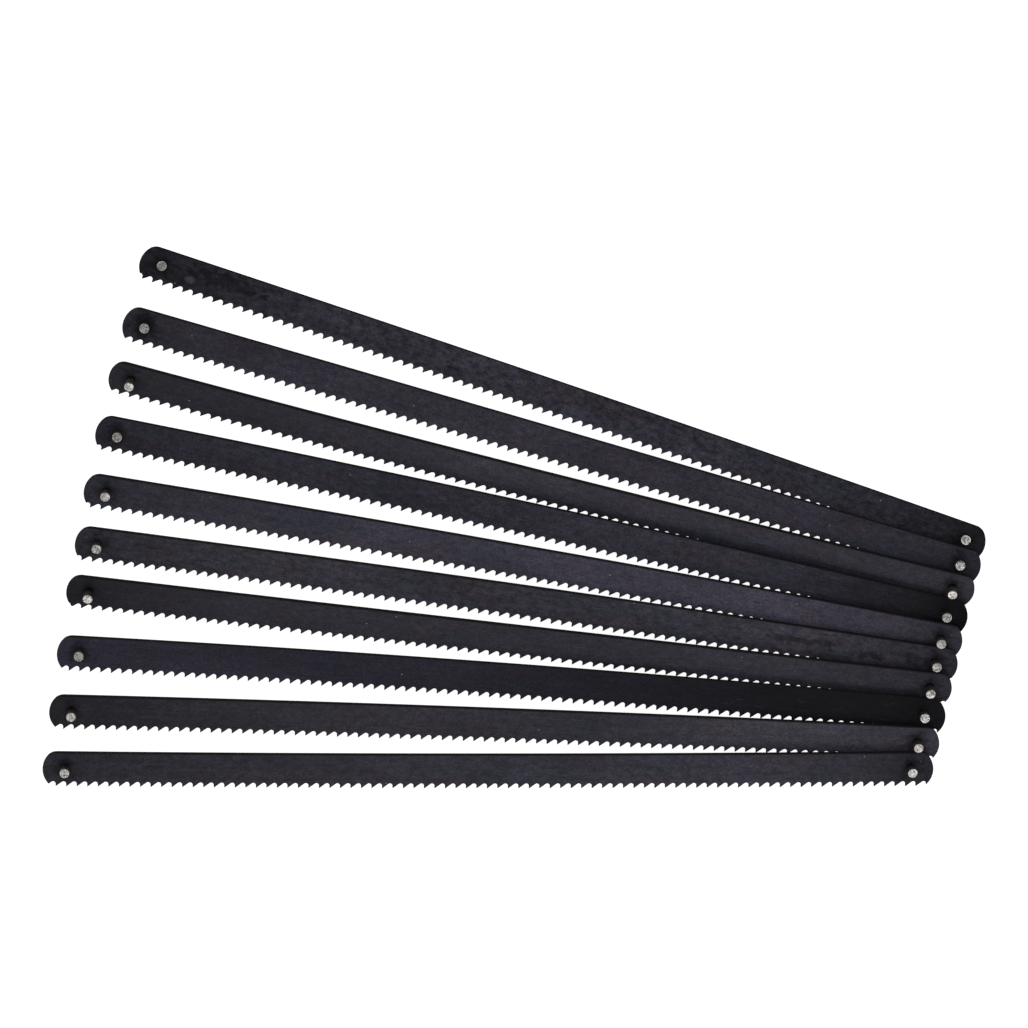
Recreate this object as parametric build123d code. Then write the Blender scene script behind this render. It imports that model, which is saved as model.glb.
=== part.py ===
from build123d import *
import math
import os

# A fanned set of pin-end saw blades lying on a table. Millimetres, +Z up. The origin is on the
# table, under the middle of the set. +X runs along the blades and the lowest blade is furthest
# towards +Y.

# Blade, in its own frame: X along it, -Y towards the teeth, Z through its thickness, and the
# middle between its two pins at the origin.
pin_spacing = 146.3
blade_thickness = 0.6
spine_to_pins = 3.0
pins_to_tips = 3.25
end_radius = 3.8
end_centre_past_pin = 0.05
end_centre_drop = 0.2  # towards the teeth
teeth_per_inch = 14
tooth_back_angle = 37
gullet_radius = 0.36

# Pin: a short rod whose waist is squeezed in the blade's hole, with lightly broken edges.
pin_radius = 0.83
pin_length = 6.12
waist_radius = 0.65
pin_chamfer = 0.12

# How the ten blades lie, lowest first.
centre_x = [8.55, 6.65, 4.9, 3.2, 1.75, 0.6, -0.65, -2.0, -3.2, -4.3]
centre_y = [19.3, 12.05, 5.4, -1.65, -8.7, -15.25, -21.5, -29.15, -36.6, -43.75]
turn = [18.75, 16.15, 14.15, 12.25, 10.0, 8.05, 6.5, 4.25, 2.2, 0.1]  # degrees clockwise
lean = [-0.6, 5.6, 24.5, 8.4, 15.5, 14.6, 22.5, 8.9, 16.4, 13.1]  # degrees, spine side up
bow = [-0.35, -0.06, 0.62, -0.72, -0.58, -0.45, 0.11, -0.69, -0.45, 0.41]  # towards the teeth
first_tip = [-70.3, -70.95, -71.05, -71.85, -71.85, -71.9, -72.4, -71.15, -70.9, -71.15]
right_raise = [0, 0.6, 0.55, 0.45, 0.4, 0.05, 0, 0.05, 0, 0.2]  # right pin's foot off the table

tooth_pitch = 25.4 / teeth_per_inch
half_spacing = pin_spacing / 2
back_slope = math.radians(tooth_back_angle)
tooth_depth = tooth_pitch * math.tan(back_slope) - gullet_radius * (
    math.tan(back_slope) + 1 / math.cos(back_slope) - 1
)
strip_half_length = half_spacing + 6  # the toothed strip before its ends are rounded


def bow_at(x, most):
    """How far a strip bowed edgewise by `most` stands off its straight line at x."""
    return most * (1 - (x / half_spacing) ** 2)


def tooth_edges(tip, next_tip):
    """One tooth: its long back, the round gullet and the upright face of the next tooth."""
    gullet_x = next_tip[0] - gullet_radius
    gullet_y = tip[1] + tooth_depth - gullet_radius
    back_end = (
        gullet_x - gullet_radius * math.sin(back_slope),
        gullet_y + gullet_radius * math.cos(back_slope),
    )
    middle_angle = (math.pi / 2 - back_slope) / 2
    middle = (
        gullet_x + gullet_radius * math.sin(middle_angle),
        gullet_y + gullet_radius * math.cos(middle_angle),
    )
    face_start = (next_tip[0], gullet_y)
    return [
        Line(tip, back_end),
        ThreePointArc(back_end, middle, face_start),
        Line(face_start, next_tip),
    ]


def toothed_strip(most_bow, tip_start):
    """The strip's outline as a face, with teeth all along its -Y edge."""
    before = math.floor((tip_start + strip_half_length) / tooth_pitch)
    start = tip_start - before * tooth_pitch
    count = math.floor((strip_half_length - start) / tooth_pitch)
    tips = []
    for i in range(count + 1):
        x = start + i * tooth_pitch
        tips.append((x, -pins_to_tips - bow_at(x, most_bow)))
    edges = []
    for tip, next_tip in zip(tips, tips[1:]):
        edges += tooth_edges(tip, next_tip)
    low_x, high_x = tips[0][0], tips[-1][0]
    low_spine = (low_x, spine_to_pins - bow_at(low_x, most_bow))
    high_spine = (high_x, spine_to_pins - bow_at(high_x, most_bow))
    edges.append(Line(tips[-1], high_spine))
    edges.append(ThreePointArc(high_spine, (0, spine_to_pins - most_bow), low_spine))
    edges.append(Line(low_spine, tips[0]))
    return make_face(edges)


def blade(most_bow, tip_start):
    """A flat toothed blade with rounded ends and a hole for the waist of each pin."""
    body = Rectangle(pin_spacing, 4 * end_radius)
    for side in (-1, 1):
        body += Pos(side * (half_spacing + end_centre_past_pin), -end_centre_drop) * Circle(end_radius)
    outline = toothed_strip(most_bow, tip_start) & body
    for side in (-1, 1):
        outline -= Pos(side * half_spacing, 0) * Circle(waist_radius)
    return extrude(outline, blade_thickness / 2, both=True)


def pin():
    """A rod along Z with a waist as long as the blade is thick."""
    rod = Cylinder(pin_radius, pin_length)
    rod = chamfer(rod.edges().filter_by(GeomType.CIRCLE), pin_chamfer)
    waist = Cylinder(pin_radius, blade_thickness) - Cylinder(waist_radius, blade_thickness)
    return rod - waist


def place(i):
    """Where blade i lies: standing on the rims of its pins, leaned, turned and moved."""
    angle = math.radians(lean[i])
    stand = pin_length / 2 * math.cos(angle) + pin_radius * abs(math.sin(angle))
    height = stand + right_raise[i] / 2
    rise = math.degrees(math.asin(right_raise[i] / pin_spacing))
    turned = Rot(0, 0, -turn[i]) * Rot(0, -rise, 0) * Rot(lean[i], 0, 0)
    return Pos(centre_x[i], centre_y[i], height) * turned


def fan():
    """Every piece by name, where it lies."""
    pieces = {}
    for i in range(len(turn)):
        where = place(i)
        number = f"{i + 1:02d}"
        pieces["blade_" + number] = where * blade(bow[i], first_tip[i])
        pieces["pin_" + number + "_left"] = where * Pos(-half_spacing, 0, 0) * pin()
        pieces["pin_" + number + "_right"] = where * Pos(half_spacing, 0, 0) * pin()
    return pieces


os.makedirs("parts", exist_ok=True)
pieces = fan()
extent = Compound(list(pieces.values())).bounding_box()
to_origin = Pos(-extent.center().X, -extent.center().Y, -extent.min.Z)
for name, piece in pieces.items():
    piece = to_origin * piece
    piece.label = name
    export_step(piece, f"parts/{name}.step")
print("size", extent.size, "moved", to_origin.position)
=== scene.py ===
import math
import random

import bmesh
import bpy
from mathutils import Matrix, Vector, noise


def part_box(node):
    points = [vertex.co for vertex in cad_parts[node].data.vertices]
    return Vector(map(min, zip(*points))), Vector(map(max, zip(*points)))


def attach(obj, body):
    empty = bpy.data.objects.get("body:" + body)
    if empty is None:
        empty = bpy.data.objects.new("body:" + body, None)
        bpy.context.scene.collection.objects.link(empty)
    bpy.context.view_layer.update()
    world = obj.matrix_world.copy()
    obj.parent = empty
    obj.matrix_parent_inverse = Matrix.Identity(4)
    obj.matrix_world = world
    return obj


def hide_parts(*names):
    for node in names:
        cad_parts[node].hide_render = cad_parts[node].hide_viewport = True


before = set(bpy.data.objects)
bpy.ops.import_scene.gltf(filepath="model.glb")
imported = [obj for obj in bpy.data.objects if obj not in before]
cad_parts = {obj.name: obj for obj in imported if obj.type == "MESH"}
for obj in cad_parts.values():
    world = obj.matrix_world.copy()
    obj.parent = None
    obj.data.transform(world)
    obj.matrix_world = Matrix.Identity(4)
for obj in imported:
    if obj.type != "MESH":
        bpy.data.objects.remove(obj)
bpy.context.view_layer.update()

mm = 0.001
numbers = [f"{i + 1:02d}" for i in range(10)]  # 01 is the lowest blade, 10 the top one
print("frame loaded,", len(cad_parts), "nodes")


# ---- camera: nearly straight above the fan, through a long lens
view = {
    "aim": (-0.00014, 0.00057, 0.0),
    "distance": 1.024,
    "lens": 207.3,  # on a 36 mm wide sensor
    "tiltX": -2.87,  # degrees off straight down
    "tiltY": -2.58,
}


def makeCamera():
    data = bpy.data.cameras.new("overheadCamera")
    data.sensor_width = 36
    data.lens = view["lens"]
    data.clip_start = 0.05
    data.clip_end = 20
    cam = bpy.data.objects.new("overheadCamera", data)
    turn = Matrix.Rotation(math.radians(view["tiltX"]), 4, "X")
    turn = turn @ Matrix.Rotation(math.radians(view["tiltY"]), 4, "Y")
    back = turn @ Vector((0, 0, 1))
    place = Vector(view["aim"]) + back * view["distance"]
    cam.matrix_world = Matrix.Translation(place) @ turn
    bpy.context.scene.collection.objects.link(cam)
    bpy.context.scene.camera = cam


# ---- studio: a pale lit table, a room brighter at the sides than overhead, and soft lamps
studio = {
    "tableSize": 3.0,
    "tableColor": (0.2, 0.2, 0.2, 1),
    "tableGlow": 0.95,  # a light table, so no shadow dulls it
    "wallLight": 1.9,
    "ceilingLight": 0.6,
    "wallTop": 0.3,  # where the walls start to darken, as the upward part of a direction
    "ceilingStart": 0.95,
    "lamps": [  # name, place, size, watts
        ("leftLamp", (-1.3, 0.6, 1.0), 0.9, 8),
        ("rightLamp", (1.4, 0.1, 1.0), 0.8, 8),
        ("frontLamp", (0.1, -1.4, 1.2), 0.9, 6),
    ],
}


def makeTable():
    half = studio["tableSize"] / 2
    mesh = bpy.data.meshes.new("table")
    corners = [(-half, -half, 0), (half, -half, 0), (half, half, 0), (-half, half, 0)]
    mesh.from_pydata(corners, [], [(0, 1, 2, 3)])
    table = bpy.data.objects.new("table", mesh)
    bpy.context.scene.collection.objects.link(table)
    mat = bpy.data.materials.new("paleTable")
    mat.use_nodes = True
    shader = mat.node_tree.nodes["Principled BSDF"]
    shader.inputs["Base Color"].default_value = studio["tableColor"]
    shader.inputs["Roughness"].default_value = 0.8
    shader.inputs["Specular IOR Level"].default_value = 0.1
    shader.inputs["Emission Color"].default_value = (1, 1, 1, 1)
    shader.inputs["Emission Strength"].default_value = studio["tableGlow"]
    mesh.materials.append(mat)


def makeLights():
    world = bpy.data.worlds.new("room")
    world.use_nodes = True
    tree = world.node_tree
    direction = tree.nodes.new("ShaderNodeTexCoord").outputs["Generated"]
    split = tree.nodes.new("ShaderNodeSeparateXYZ")
    tree.links.new(direction, split.inputs[0])
    height = tree.nodes.new("ShaderNodeMapRange")
    height.interpolation_type = "SMOOTHSTEP"
    tree.links.new(split.outputs[2], height.inputs["Value"])
    height.inputs["From Min"].default_value = studio["wallTop"]
    height.inputs["From Max"].default_value = studio["ceilingStart"]
    height.inputs["To Min"].default_value = studio["wallLight"]
    height.inputs["To Max"].default_value = studio["ceilingLight"]
    tree.links.new(height.outputs[0], tree.nodes["Background"].inputs["Strength"])
    tree.nodes["Background"].inputs["Color"].default_value = (1, 1, 1, 1)
    bpy.context.scene.world = world
    for name, place, size, watts in studio["lamps"]:
        data = bpy.data.lights.new(name, "AREA")
        data.shape = "SQUARE"
        data.size = size
        data.energy = watts
        lamp = bpy.data.objects.new(name, data)
        lamp.location = place
        lamp.rotation_euler = (-Vector(place)).to_track_quat("-Z", "Y").to_euler()
        bpy.context.scene.collection.objects.link(lamp)
    bpy.context.scene.view_settings.view_transform = "Standard"


# ---- materials, all from nodes; places on a piece come from its "spot" attribute, in millimetres
class Finish:
    def __init__(self, name):
        self.mat = bpy.data.materials.new(name)
        self.mat.use_nodes = True
        self.tree = self.mat.node_tree
        self.shader = self.tree.nodes["Principled BSDF"]

    def add(self, kind, **values):
        node = self.tree.nodes.new(kind)
        for key, value in values.items():
            setattr(node, key, value)
        return node

    def feed(self, socket, value):
        if isinstance(value, bpy.types.NodeSocket):
            self.tree.links.new(value, socket)
        else:
            socket.default_value = value

    def math(self, operation, a, b=0.0, clamp=False):
        node = self.add("ShaderNodeMath", operation=operation, use_clamp=clamp)
        self.feed(node.inputs[0], a)
        self.feed(node.inputs[1], b)
        return node.outputs[0]

    def stretch(self, vector, by, shift=(0, 0, 0)):
        node = self.add("ShaderNodeMapping")
        self.feed(node.inputs["Vector"], vector)
        node.inputs["Scale"].default_value = by
        node.inputs["Location"].default_value = shift
        return node.outputs[0]

    def cloud(self, vector, detail=3.0, roughness=0.55):
        node = self.add("ShaderNodeTexNoise")
        self.feed(node.inputs["Vector"], vector)
        node.inputs["Scale"].default_value = 1.0
        node.inputs["Detail"].default_value = detail
        node.inputs["Roughness"].default_value = roughness
        return node.outputs["Fac"]

    def band(self, value, low, high, toLow=0.0, toHigh=1.0):
        node = self.add("ShaderNodeMapRange", interpolation_type="SMOOTHSTEP")
        self.feed(node.inputs["Value"], value)
        node.inputs["From Min"].default_value = low
        node.inputs["From Max"].default_value = high
        node.inputs["To Min"].default_value = toLow
        node.inputs["To Max"].default_value = toHigh
        return node.outputs[0]

    def ramp(self, value, stops):
        node = self.add("ShaderNodeValToRGB")
        cells = node.color_ramp.elements
        while len(cells) < len(stops):
            cells.new(0.5)
        for cell, (at, color) in zip(cells, stops):
            cell.position = at
            cell.color = (*color, 1)
        self.feed(node.inputs[0], value)
        return node.outputs[0]

    def mix(self, factor, a, b, blend="MIX"):
        node = self.add("ShaderNodeMix", data_type="RGBA", blend_type=blend)
        self.feed(node.inputs[0], factor)
        self.feed(node.inputs[6], a)
        self.feed(node.inputs[7], b)
        return node.outputs[2]

    def attribute(self, name):
        return self.add("ShaderNodeAttribute", attribute_name=name)

    def bump(self, height, depth, before=None):
        node = self.add("ShaderNodeBump")
        node.inputs["Distance"].default_value = depth
        self.feed(node.inputs["Height"], height)
        if before is not None:
            self.feed(node.inputs["Normal"], before)
        return node.outputs[0]


# black oxide: how light each blade's face is, in six places from its left end to its right end,
# how blue it is, how strongly it is mottled, and single marks on it
oxide = {
    "light": [
        (0.65, 0.98, 1.05, 1.02, 0.98, 0.60),
        (0.95, 1.04, 1.07, 1.06, 1.04, 0.90),
        (0.80, 0.90, 1.08, 1.07, 1.02, 1.04),
        (0.86, 0.94, 0.95, 1.04, 0.97, 0.10),
        (0.93, 1.12, 1.19, 1.24, 1.33, 1.00),
        (0.92, 1.12, 1.06, 1.06, 1.18, 0.90),
        (0.62, 0.95, 0.96, 0.96, 1.08, 0.90),
        (0.94, 0.92, 0.83, 0.71, 0.50, 0.40),
        (0.68, 0.93, 1.05, 1.00, 1.27, 1.18),
        (0.92, 0.95, 1.06, 1.08, 1.17, 0.86),
    ],
    "blue": [0.95, 1.0, 0.95, 1.1, 1.1, 0.85, 1.0, 1.4, 0.75, 0.9],
    "mottle": [1.6, 0.8, 0.8, 1.0, 0.8, 1.2, 0.8, 0.5, 0.8, 0.9],
    "marks": {  # middle along and across the blade, half length, half width, how light
        "01": [(-67.8, -0.7, 0.9, 0.6, 3.4), (-62.0, 0.9, 7.0, 1.3, 0.5), (-69.5, 1.6, 2.5, 0.8, 1.3)],
        "02": [(-73.2, 0.0, 2.5, 2.5, 0.6)],
        "06": [(50.0, 0.6, 6.0, 0.5, 0.5), (61.0, -0.4, 5.0, 0.5, 0.5), (69.0, 0.5, 3.0, 0.6, 0.6)],
        "09": [(-72.8, 0.2, 3.2, 2.4, 1.45)],
    },
    "baseLight": 0.0150,
    "cloudDepth": 0.16,  # how much each pattern lightens and darkens the face
    "streakDepth": 0.12,
    "blotDepth": 0.34,
    "grainDepth": 0.34,
    "pinShadeRing": (1.1, 2.4),  # painted contact shade around each pin: millimetres from its axis, full and gone
    "spineShadeWidth": (0.1, 0.42),  # painted shade along the spine: millimetres from it, full and gone
    "roughness": 0.5,
    "gloss": 0.06,
    "relief": 0.000030,
    "dark": (0.0022, 0.0020, 0.0024, 1),  # edges, smears and anything that lost its sheen, and the painted shade around the pins and along the spine
    "worn": (0.042, 0.041, 0.046, 1),
    "dust": (0.12, 0.12, 0.115, 1),
}


def oxideColor(light, blue):
    gray = oxide["baseLight"] * light ** 2.2
    return (gray, gray * 0.94, gray * (1 + 0.30 * blue))


def mark(f, color, x, y, wobble, place):
    # one soft-edged oval that lightens or darkens the face
    middleX, middleY, halfLength, halfWidth, light = place
    alongIt = f.math("DIVIDE", f.math("SUBTRACT", x, middleX), halfLength)
    acrossIt = f.math("DIVIDE", f.math("SUBTRACT", y, middleY), halfWidth)
    square = f.math("ADD", f.math("MULTIPLY", alongIt, alongIt), f.math("MULTIPLY", acrossIt, acrossIt))
    away = f.math("ADD", f.math("SQRT", square), wobble)
    return f.mix(f.band(away, 0.6, 1.3, 1.0, 0.0), color, f.mix(1.0, color, (light,) * 3 + (1,), "MULTIPLY"))


def shade(f, color, pattern, low, high, depth):
    # lightens and darkens a color by a pattern, by up to depth each way
    tones = [(low, (1 - depth,) * 3), (high, (1 + depth,) * 3)]
    return f.mix(1.0, color, f.ramp(pattern, tones), "MULTIPLY")


def makeOxide(number):
    i = numbers.index(number)
    f = Finish("blackOxide" + number)
    spot = f.attribute("spot").outputs["Vector"]
    split = f.add("ShaderNodeSeparateXYZ")
    f.feed(split.inputs[0], spot)
    x, y = split.outputs[0], split.outputs[1]
    own = (i * 37.0, i * 11.0, i * 5.0)  # each blade cuts its own piece of every pattern
    mottle = oxide["mottle"][i]

    along = f.math("DIVIDE", f.math("ADD", x, blade["half"]), 2 * blade["half"])
    stops = [(k / 5, oxideColor(s, oxide["blue"][i])) for k, s in enumerate(oxide["light"][i])]
    color = f.ramp(along, stops)

    # clouds in the oxide, then lengthwise rolling streaks, then mottling and fine grain
    clouds = f.cloud(f.stretch(spot, (0.06, 0.16, 0.2), own), 3, 0.6)
    color = shade(f, color, clouds, 0.3, 0.7, oxide["cloudDepth"])
    streaks = f.cloud(f.stretch(spot, (0.10, 3.2, 1.0), own), 3, 0.6)
    color = shade(f, color, streaks, 0.3, 0.7, oxide["streakDepth"])
    blots = f.cloud(f.stretch(spot, (0.8, 1.2, 1.0), own), 4, 0.65)
    color = shade(f, color, blots, 0.32, 0.68, oxide["blotDepth"] * mottle)
    grain = f.cloud(f.stretch(spot, (2.6, 3.0, 3.0), own), 2, 0.6)
    color = shade(f, color, grain, 0.3, 0.7, oxide["grainDepth"])
    tint = f.cloud(f.stretch(spot, (0.09, 0.3, 0.3), (i * 13.0, 70.0, 21.0)), 2, 0.5)
    tints = f.ramp(tint, [(0.35, (1.07, 0.98, 0.96)), (0.65, (0.94, 1.01, 1.07))])
    color = f.mix(1.0, color, tints, "MULTIPLY")

    # painted contact shade in a ring around each pin, where it stands out of the face
    fromPin = pinDistance(f, x, y)
    wobble = f.math("MULTIPLY", f.math("SUBTRACT", blots, 0.5), 3.0)
    pinShade = f.band(f.math("ADD", fromPin, wobble), *oxide["pinShadeRing"], 1.0, 0.0)
    color = f.mix(f.math("MULTIPLY", pinShade, 0.6), color, oxide["dark"])
    for place in oxide["marks"].get(number, []):
        color = mark(f, color, x, y, wobble, place)

    # rubbed patches, hairline scratches, dark smears along the blade, and specks of dust
    rubs = f.cloud(f.stretch(spot, (0.16, 0.5, 0.3), (i * 19.0, 7.0, 3.0)), 5, 0.7)
    rub = f.math("MULTIPLY", f.band(rubs, 0.58, 0.74), f.band(grain, 0.35, 0.7))
    color = f.mix(f.math("MULTIPLY", rub, 0.35 * mottle), color, oxide["worn"])
    smears = f.cloud(f.stretch(spot, (0.22, 1.6, 1.0), (i * 23.0, 31.0, 8.0)), 3, 0.6)
    color = f.mix(f.band(smears, 0.62, 0.76, 0.0, 0.55 * mottle), color, oxide["dark"])
    lines = f.cloud(f.stretch(spot, (0.35, 8.0, 1.0), (i * 3.0, 40.0, 9.0)), 2, 0.5)
    scratch = f.math("MULTIPLY", f.band(lines, 0.66, 0.72), f.band(rubs, 0.45, 0.6))
    color = f.mix(f.math("MULTIPLY", scratch, 0.45), color, oxide["worn"])
    dust = f.add("ShaderNodeTexVoronoi", feature="F1")
    f.feed(dust.inputs["Vector"], f.stretch(spot, (0.4, 0.4, 0.4), own))
    dust.inputs["Scale"].default_value = 1.0
    pick = f.add("ShaderNodeSeparateColor")
    f.feed(pick.inputs[0], dust.outputs["Color"])
    dot = f.band(dust.outputs["Distance"], 0.03, 0.07, 1.0, 0.0)
    speck = f.math("MULTIPLY", dot, f.band(pick.outputs[0], 0.84, 0.88))
    color = f.mix(f.math("MULTIPLY", speck, 0.8), color, oxide["dust"])

    # the narrow edges stay blacker than the rolled faces, and a strip of the faces along the spine gets
    # painted shade, the dark line of a shadow where one blade lies over the next
    edge = f.attribute("edge").outputs["Fac"]
    spineShade = f.band(f.attribute("fromSpine").outputs["Fac"], *oxide["spineShadeWidth"], 1.0, 0.0)
    edge = f.math("MAXIMUM", edge, spineShade)
    color = f.mix(edge, color, oxide["dark"])
    f.feed(f.shader.inputs["Base Color"], color)

    rough = f.band(clouds, 0.3, 0.7, oxide["roughness"] - 0.06, oxide["roughness"] + 0.06)
    rough = f.math("SUBTRACT", rough, f.math("MULTIPLY", rub, 0.08))
    rough = f.math("ADD", rough, f.math("MULTIPLY", edge, 0.3))
    rough = f.math("ADD", rough, f.math("MULTIPLY", speck, 0.3), clamp=True)
    f.feed(f.shader.inputs["Roughness"], rough)
    f.shader.inputs["Specular IOR Level"].default_value = oxide["gloss"]
    relief = f.bump(streaks, 0.4 * oxide["relief"])
    relief = f.bump(grain, oxide["relief"], before=relief)
    relief = f.bump(blots, oxide["relief"], before=relief)
    f.feed(f.shader.inputs["Normal"], relief)
    return f.mat


def pinDistance(f, x, y):
    # millimetres in the blade's plane to the nearer of its two pins
    inward = f.math("SUBTRACT", f.math("ABSOLUTE", x), blade["spacing"] / 2)
    square = f.math("ADD", f.math("MULTIPLY", inward, inward), f.math("MULTIPLY", y, y))
    return f.math("SQRT", square)


# pins: blackened wire whose sheared ends are bare steel
steel = {
    "bright": (0.62, 0.61, 0.60),
    "dull": (0.05, 0.049, 0.048),
    "side": (0.130, 0.120, 0.110),
    "footShade": (0.010, 0.009, 0.009),  # painted contact shade, where the pin leaves the blade
}


def makePinSteel():
    f = Finish("shearedPinSteel")
    spot = f.attribute("spot").outputs["Vector"]
    split = f.add("ShaderNodeSeparateXYZ")
    f.feed(split.inputs[0], spot)
    fromBlade = f.math("ABSOLUTE", split.outputs[2])
    # bare steel on the sheared ends, at a share per pin that paints a highlight on some
    bareAndHighlight = f.attribute("bareAndHighlight").outputs["Fac"]
    seat = f.add("ShaderNodeObjectInfo").outputs["Random"]  # each pin cuts its own piece of a pattern
    shifted = f.add("ShaderNodeVectorMath", operation="ADD")
    f.feed(shifted.inputs[0], spot)
    f.feed(shifted.inputs[1], f.math("MULTIPLY", seat, 40.0))
    spot = shifted.outputs[0]

    grain = f.cloud(f.stretch(spot, (3.2, 3.2, 3.2)), 4, 0.75)
    draw = f.cloud(f.stretch(spot, (14, 14, 0.9)), 2, 0.6)
    sheared = f.ramp(grain, [(0.42, steel["dull"]), (0.56, steel["bright"])])
    # painted contact shade: the pin's side darkens towards the blade
    footShade = f.band(f.math("ADD", fromBlade, f.math("MULTIPLY", draw, 0.6)), 0.7, 2.0, 1.0, 0.0)
    side = f.mix(footShade, (*steel["side"], 1), (*steel["footShade"], 1))
    side = f.mix(1.0, side, f.ramp(draw, [(0.3, (0.7, 0.7, 0.7)), (0.7, (1.3, 1.25, 1.2))]), "MULTIPLY")
    color = f.mix(bareAndHighlight, side, sheared)
    f.feed(f.shader.inputs["Base Color"], color)
    f.shader.inputs["Metallic"].default_value = 1.0
    rough = f.band(grain, 0.3, 0.7, 0.42, 0.28)
    f.feed(f.shader.inputs["Roughness"], rough)
    relief = f.bump(draw, 0.00001)
    relief = f.bump(grain, 0.00004, before=relief)
    f.feed(f.shader.inputs["Normal"], relief)
    return f.mat


# ---- where each blade lies, read from the frame
def readPlace(number):
    def middle(node):
        low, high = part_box(node)
        return (low + high) / 2

    left, right = middle(f"pin_{number}_left"), middle(f"pin_{number}_right")
    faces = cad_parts["blade_" + number].data.polygons
    up = Vector((0, 0, 0))
    for face in faces:
        if face.normal.z > 0.7:
            up += face.normal * face.area
    up.normalize()
    along = (right - left).normalized()
    spineWard = up.cross(along).normalized()
    turn = Matrix((along, spineWard, up)).transposed().to_4x4()
    return Matrix.Translation((left + right) / 2) @ turn


# ---- blade: a toothed strip, local X along it, +Y to the spine, Z through it, in millimetres
blade = {
    "thickness": 0.6,
    "spacing": 146.3,  # between the pins
    "spine": 3.0,
    "tips": 3.25,
    "endRadius": 3.8,
    "endCentre": 0.05,  # outside the pin
    "endDrop": 0.2,  # towards the teeth
    "cornerReach": 0.8,  # the spine's corner is rubbed round over this length
    "cornerTurn": 12,  # and over these degrees of the round end
    "pitch": 25.4 / 14,
    "backAngle": math.radians(37),
    "gulletRadius": 0.43,
    "tipRound": 0.035,
    "setOut": 0.06,  # how far a tip is bent to its side
    "edgeRound": 0.03,
    "endSteps": 8,
    "capAngle": 9,  # degrees above and below the end's middle, where the columns close
    "holeRadius": 0.65,
}
blade["half"] = blade["spacing"] / 2 + blade["endCentre"] + blade["endRadius"]
blade["toothDepth"] = blade["pitch"] * math.tan(blade["backAngle"]) - blade["gulletRadius"] * (
    math.tan(blade["backAngle"]) + 1 / math.cos(blade["backAngle"]) - 1
)


def readTeeth(number, place):
    # one tip near the blade's middle gives where the teeth start and how far the strip is bowed
    back = place.inverted()
    spots = [back @ v.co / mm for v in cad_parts["blade_" + number].data.vertices]
    tip = min((p for p in spots if abs(p.x) < 1.5 * blade["pitch"]), key=lambda p: p.y)
    share = 1 - (tip.x / (blade["spacing"] / 2)) ** 2
    return tip.x, (-tip.y - blade["tips"]) / share


def toothOutline():
    # one tooth from its upright face over the tip and down the back to the next gullet;
    # x from this tip, y inwards from the line of the tips
    slope, radius = blade["backAngle"], blade["gulletRadius"]
    pitch, depth, tipRound = blade["pitch"], blade["toothDepth"], blade["tipRound"]
    faceTop = depth - radius
    reach = tipRound / math.tan((math.pi / 2 - slope) / 2)
    points = [(0.0, faceTop * 0.55), (0.0, reach)]
    cut = 1 - tipRound / math.hypot(tipRound, reach)
    points.append((tipRound * cut, reach * cut))
    points.append((reach * math.cos(slope), reach * math.sin(slope)))
    centreX, centreY = pitch - radius, depth - radius
    startX = centreX - radius * math.sin(slope)
    startY = centreY + radius * math.cos(slope)
    points.append((startX * 0.5, startY * 0.5))
    arc = math.pi / 2 + slope
    for k in range(6):
        angle = slope - arc * k / 5  # measured from straight inwards, to the left
        points.append((centreX - radius * math.sin(angle), centreY + radius * math.cos(angle)))
    return points


def endPoint(side, angle):
    # a point on the round end, by its angle above the blade's middle line
    turn = math.radians(angle)
    x = blade["spacing"] / 2 + blade["endCentre"] + blade["endRadius"] * math.cos(turn)
    return side * x, blade["endRadius"] * math.sin(turn) - blade["endDrop"]


def inEnd(x, y):
    past = abs(x) - blade["spacing"] / 2 - blade["endCentre"]
    return past <= 0 or math.hypot(past, y + blade["endDrop"]) <= blade["endRadius"]


def endAngle(x, y):
    past = abs(x) - blade["spacing"] / 2 - blade["endCentre"]
    return math.degrees(math.atan2(y + blade["endDrop"], past))


def crossingAngle(inside, outside):
    # halving the step from a point in the blade to one beyond its round end
    a, b = Vector(inside[:2]), Vector(outside[:2])
    for _ in range(20):
        middle = (a + b) / 2
        if inEnd(*middle):
            a = middle
        else:
            b = middle
    return endAngle(*a)


def cornerPoint(side, corner, share):
    peak = Vector(endPoint(side, corner))
    start = peak - Vector((side * blade["cornerReach"], 0))
    stop = Vector(endPoint(side, corner - blade["cornerTurn"]))
    return tuple(start.lerp(peak, share).lerp(peak.lerp(stop, share), share))


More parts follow.
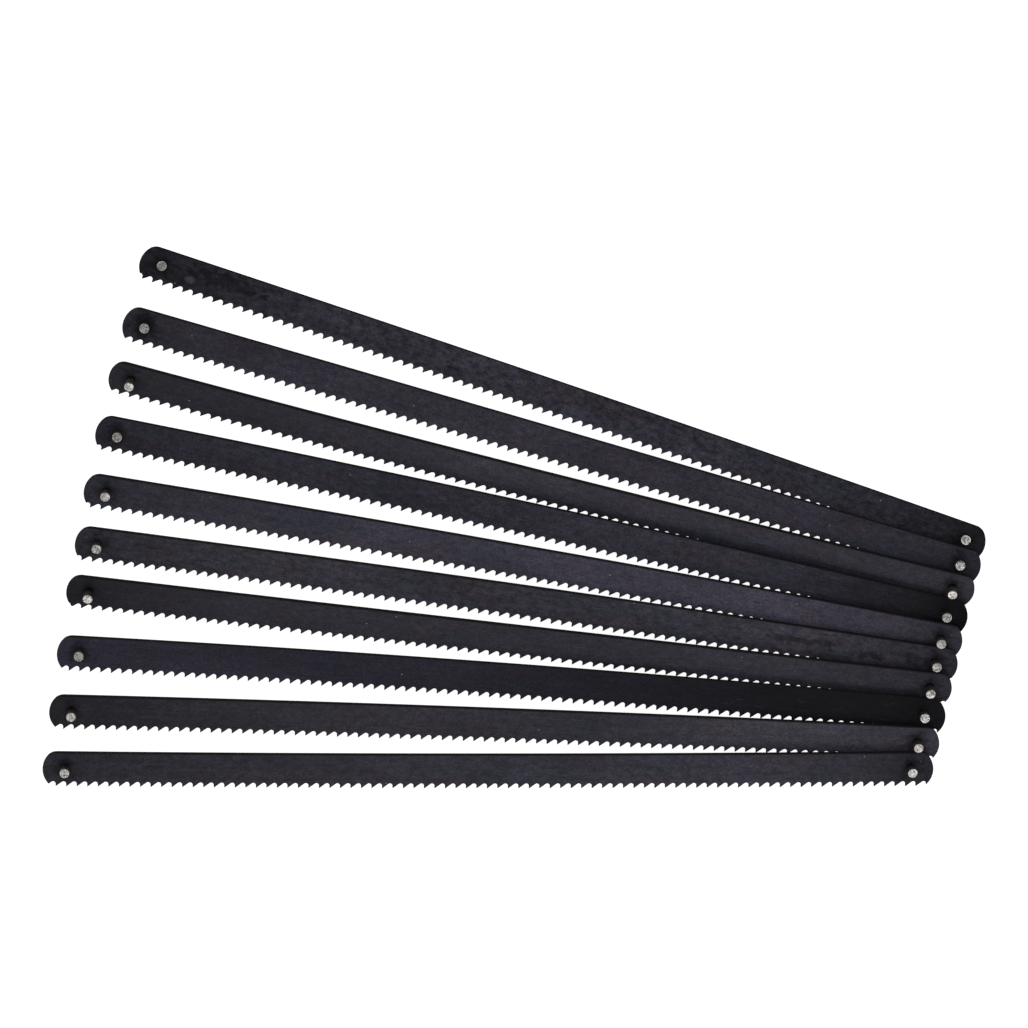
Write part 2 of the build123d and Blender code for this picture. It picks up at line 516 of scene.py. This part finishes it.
def bladeColumns(tipX):
    # columns across the strip from left to right: (spine point, root point, toothed point, set)
    pitch, tips = blade["pitch"], blade["tips"]
    outline = toothOutline()
    rootY = -tips + blade["toothDepth"] + 0.15
    count = int(blade["half"] / pitch) + 2
    edge = []
    for n in range(-count, count):
        for j, (x, y) in enumerate(outline):
            root = tipX + (n + (j + 1) / len(outline)) * pitch
            edge.append((tipX + n * pitch + x, y - tips, root, (-1) ** n))
    held = [k for k, (x, y, _, _) in enumerate(edge) if inEnd(x, y)]
    first, last = held[0], held[-1]
    columns = []
    corner = math.degrees(math.asin((blade["spine"] + blade["endDrop"]) / blade["endRadius"]))
    straight = blade["spacing"] / 2 + 0.7
    for x, y, root, out in edge[first:last + 1]:
        if not inEnd(x, y):
            x, y = endPoint(math.copysign(1, x), endAngle(x, y))
        spineX = root
        if abs(root) > straight:  # crowd up before the corner where the round end starts
            spineX = math.copysign(straight + (abs(root) - straight) * 0.3, root)
        columns.append(((spineX, blade["spine"]), (root, rootY), (x, y), out))
    for side, inside, outside in ((-1, first, first - 1), (1, last, last + 1)):
        crossing = crossingAngle(edge[inside], edge[outside])
        steps, cap = blade["endSteps"], blade["capAngle"]
        closing, arcTop = 1.2 * cap, corner - blade["cornerTurn"]
        upper = [cornerPoint(side, corner, share) for share in (0.25, 0.5, 0.75)]
        upper += [endPoint(side, arcTop + (closing - arcTop) * k / (steps - 3)) for k in range(steps - 2)]
        lower = [endPoint(side, crossing - (closing + crossing) * k / steps) for k in range(steps + 1)]
        upper.append(endPoint(side, cap))
        lower.append(endPoint(side, -cap))
        for above, below in zip(upper, lower):
            columns.insert(0 if side < 0 else len(columns), (above, None, below, 0))
    return columns


def between(a, b, share):
    return (a[0] + (b[0] - a[0]) * share, a[1] + (b[1] - a[1]) * share)


def bladeGrid(columns):
    # seven rows of points from the spine (0) to the teeth (6); the outer ring of points is the outline
    last = len(columns) - 1
    grid = {}
    for j, (spine, _, tooth, _) in enumerate(columns):
        grid[j, 0] = spine
        grid[j, 6] = tooth
    for k in range(1, 6):
        angle = blade["capAngle"] * (1 - k / 3)
        grid[0, k] = endPoint(-1, angle)
        grid[last, k] = endPoint(1, angle)
    ring = [(j, 0) for j in range(last + 1)] + [(last, k) for k in range(1, 6)]
    ring += [(j, 6) for j in range(last, -1, -1)] + [(0, k) for k in range(5, 0, -1)]
    for n, (j, k) in enumerate(ring):
        here = Vector(grid[j, k])
        before = (here - Vector(grid[ring[n - 1]])).normalized()
        after = (Vector(grid[ring[(n + 1) % len(ring)]]) - here).normalized()
        inward = Vector((before.y + after.y, -before.x - after.x)).normalized()
        target = (min(max(j, 1), last - 1), min(max(k, 1), 5))
        if k in (0, 6) and j in (0, 1, last - 1, last):
            continue
        grid[target] = tuple(here + inward * blade["edgeRound"])
    for j in range(2, last - 1):
        top, bottom, root = grid[j, 1], grid[j, 5], columns[j][1]
        if root is None:
            root = between(top, bottom, 0.8)
        grid[j, 3] = root
        grid[j, 2] = between(top, root, 0.5)
        grid[j, 4] = between(root, bottom, 0.5)
    return grid, ring


def bladeMesh(tipX, bow):
    columns = bladeColumns(tipX)
    grid, ring = bladeGrid(columns)
    last = len(columns) - 1
    outline = set(ring)
    half = blade["thickness"] / 2
    faceTop = blade["toothDepth"] - blade["gulletRadius"]
    points, index = [], {}
    for side in (1, -1):
        for (j, k), (x, y) in grid.items():
            z = side * (half - blade["edgeRound"] if (j, k) in outline else half)
            low = min(max((faceTop - blade["tips"] - y) / faceTop, 0), 1)
            z += columns[j][3] * blade["setOut"] * low
            index[side, j, k] = len(points)
            points.append((x, y - bow * (1 - (x / (blade["spacing"] / 2)) ** 2), z))
    faces = []
    for j in range(last):
        for k in range(6):
            corners = [(j, k), (j + 1, k), (j + 1, k + 1), (j, k + 1)]
            faces.append([index[-1, *c] for c in corners])
            faces.append([index[1, *c] for c in reversed(corners)])
    for a, b in zip(ring, ring[1:] + ring[:1]):
        faces.append([index[1, *a], index[1, *b], index[-1, *b], index[-1, *a]])
    mesh = bpy.data.meshes.new("strip")
    mesh.from_pydata(points, [], faces)
    return mesh


def punchHoles(strip):
    cutter = bmesh.new()
    for side in (-1, 1):
        spot = Matrix.Translation((side * blade["spacing"] / 2, 0, 0))
        bmesh.ops.create_cone(cutter, cap_ends=True, segments=40, radius1=blade["holeRadius"],
                              radius2=blade["holeRadius"], depth=2, matrix=spot)
    mesh = bpy.data.meshes.new("punch")
    cutter.to_mesh(mesh)
    cutter.free()
    punch = bpy.data.objects.new("punch", mesh)
    work = bpy.data.objects.new("work", strip)
    for piece in (punch, work):
        bpy.context.scene.collection.objects.link(piece)
    cut = work.modifiers.new("holes", "BOOLEAN")
    cut.operation = "DIFFERENCE"
    cut.solver = "EXACT"
    cut.object = punch
    bpy.context.view_layer.update()
    shaped = bpy.data.meshes.new_from_object(work.evaluated_get(bpy.context.evaluated_depsgraph_get()))
    for piece in (punch, work):
        bpy.data.objects.remove(piece)
    return shaped


def keepSpots(mesh):
    # every point remembers where it is on the plain piece, for the materials
    spots = mesh.attributes.new("spot", "FLOAT_VECTOR", "POINT")
    spots.data.foreach_set("vector", [value for v in mesh.vertices for value in v.co])


def makeBlade(number):
    place = readPlace(number)
    tipX, bow = readTeeth(number, place)
    mesh = punchHoles(bladeMesh(tipX, bow))
    keepSpots(mesh)
    edge = mesh.attributes.new("edge", "FLOAT", "FACE")
    edge.data.foreach_set("value", [float(abs(face.normal.z) < 0.9) for face in mesh.polygons])
    halfSpan = blade["spacing"] / 2
    fromSpine = mesh.attributes.new("fromSpine", "FLOAT", "POINT")
    fromSpine.data.foreach_set("value", [blade["spine"] - v.co.y - bow * (1 - (v.co.x / halfSpan) ** 2)
                                         for v in mesh.vertices])
    mesh.polygons.foreach_set("use_smooth", [True] * len(mesh.polygons))
    mesh.set_sharp_from_angle(angle=math.radians(32))
    mesh.transform(place @ Matrix.Scale(mm, 4))
    mesh.name = "toothedBlade" + number
    piece = bpy.data.objects.new("toothedBlade" + number, mesh)
    bpy.context.scene.collection.objects.link(piece)
    mesh.materials.clear()
    mesh.materials.append(makeOxide(number))
    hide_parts("blade_" + number)
    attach(piece, "blade_" + number)
    return place


# ---- pins: sheared from wire, with a waist in the blade's hole and rough, slightly sloping ends
pin = {
    "radius": 0.83,
    "length": 6.12,
    "waist": 0.645,
    "shoulder": 0.305,  # from the blade's middle to where the waist starts
    "rollover": 0.13,  # the sheared end's rounded rim
    "segments": 44,
    "slope": 0.05,  # how far one end leans, as a share
    "grit": 0.016,  # how rough the sheared ends are
    # painted highlight: these sheared ends get a larger share of bare-steel colour, so they look lit
    "endHighlight": {"01_right": 1.0, "02_right": 0.8, "08_right": 0.9, "10_right": 0.75, "02_left": 0.55},
    "plainEnd": 0.45,  # the other ends' share of bare-steel colour, without the painted highlight
    "facets": {  # where the metal tore: direction, distance from the axis, steepness
        "01_left": (-60, 0.45, 0.25), "01_right": (160, 0.55, 0.25),
        "02_left": (200, 0.50, 0.20), "02_right": (300, 0.40, 0.30),
        "03_left": (20, 0.50, 0.25), "03_right": (330, 0.45, 0.35),
        "04_left": (70, 0.40, 0.25), "04_right": (250, 0.50, 0.20),
        "05_left": (350, 0.45, 0.30), "05_right": (120, 0.45, 0.25),
        "06_left": (10, 0.35, 0.30), "06_right": (30, 0.50, 0.30),
        "07_left": (340, 0.40, 0.35), "07_right": (50, 0.30, 0.45),
        "08_left": (20, 0.45, 0.30), "08_right": (230, 0.55, 0.20),
        "09_left": (0, 0.20, 0.50), "09_right": (290, 0.50, 0.25),
        "10_left": (-20, 0.50, 0.50), "10_right": (-10, 0.25, 0.45),
    },
}


def pinEnd(radius, angle, seed, facet):
    # how far below its full height a point of the sheared end lies
    x, y = radius * math.cos(angle), radius * math.sin(angle)
    direction, distance, steep = facet
    toward = x * math.cos(math.radians(direction)) + y * math.sin(math.radians(direction))
    drop = pin["slope"] * (pin["radius"] + toward) / 2
    drop += max(0.0, toward - distance) * steep
    coarse = noise.noise(Vector((x * 4.0, y * 4.0, seed)))
    fine = noise.noise(Vector((x * 9.0, y * 9.0, seed)))
    return drop + pin["grit"] * (1 + coarse + 0.6 * fine)


def makePin(number, sideName, place, draw):
    side = -1 if sideName == "left" else 1
    half, radius, roll = pin["length"] / 2, pin["radius"], pin["rollover"]
    shoulder = pin["shoulder"]
    seed = draw.uniform(0, 100)
    facets = {1: pin["facets"][f"{number}_{sideName}"], -1: (draw.uniform(0, 360), 0.4, 0.3)}
    body = [(radius - roll * (1 - math.sin(a)), half - roll * (1 - math.cos(a)))
            for a in (math.radians(18 * k) for k in range(6))]
    body += [(radius + 0.004, half * 0.8), (radius, half * 0.5), (radius + 0.012, shoulder + 0.115),
             (radius, shoulder + 0.015)]
    body += [(radius - 0.03, shoulder), (pin["waist"], shoulder)]
    flat = [(share * (radius - roll), half) for share in (0.25, 0.5, 0.75)]
    upper = flat + body
    profile = [(1, r, z) for r, z in upper] + [(-1, r, -z) for r, z in reversed(upper)]
    bareAndHighlight = len(flat) + 3  # the rings that are sheared metal, at each end
    # painted highlight: how much bare-steel colour this end gets
    endHighlight = pin["endHighlight"].get(f"{number}_{sideName}", pin["plainEnd"])
    mesh = bpy.data.meshes.new("pin")
    points, bright = [], []
    count = pin["segments"]
    for n, (up, r, z) in enumerate(profile):
        near = min(n, len(profile) - 1 - n)
        for s in range(count):
            angle = 2 * math.pi * s / count
            height = z
            if near < len(flat) + 6:
                fade = 1.0 if near < len(flat) + 1 else 1 - (near - len(flat)) / 6
                height -= up * fade * pinEnd(r, angle, seed + 50 * up, facets[up])
            wobble = 1 + 0.006 * noise.noise(Vector((math.cos(angle) * 2, math.sin(angle) * 2, z + seed)))
            points.append((r * wobble * math.cos(angle), r * wobble * math.sin(angle), height))
            bright.append(endHighlight if near < bareAndHighlight else 0.0)
    for up in (1, -1):
        points.append((0, 0, up * (half - pinEnd(0, 0, seed + 50 * up, facets[up]))))
        bright.append(endHighlight)
    faces = []
    for n in range(len(profile) - 1):
        for s in range(count):
            t = (s + 1) % count
            faces.append((n * count + s, (n + 1) * count + s, (n + 1) * count + t, n * count + t))
    top, foot = len(points) - 2, len(points) - 1
    lastRing = (len(profile) - 1) * count
    for s in range(count):
        t = (s + 1) % count
        faces.append((top, s, t))
        faces.append((foot, lastRing + t, lastRing + s))
    mesh.from_pydata(points, [], faces)
    keepSpots(mesh)
    shear = mesh.attributes.new("bareAndHighlight", "FLOAT", "POINT")
    shear.data.foreach_set("value", bright)
    mesh.polygons.foreach_set("use_smooth", [True] * len(mesh.polygons))
    mesh.set_sharp_from_angle(angle=math.radians(50))
    spot = Matrix.Translation((side * blade["spacing"] / 2 * mm, 0, 0))
    mesh.transform(place @ spot @ Matrix.Scale(mm, 4))
    piece = bpy.data.objects.new(f"shearedPin{number}{sideName.capitalize()}", mesh)
    bpy.context.scene.collection.objects.link(piece)
    return piece


def makePins(number, place, steelFinish, draw):
    for sideName in ("left", "right"):
        piece = makePin(number, sideName, place, draw)
        piece.data.materials.append(steelFinish)
        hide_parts(f"pin_{number}_{sideName}")
        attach(piece, "blade_" + number)


makeCamera()
makeTable()
makeLights()
print("studio ready")
steelFinish = makePinSteel()
draw = random.Random(7)
for number in numbers:
    place = makeBlade(number)
    makePins(number, place, steelFinish, draw)
    print("blade", number, "done")
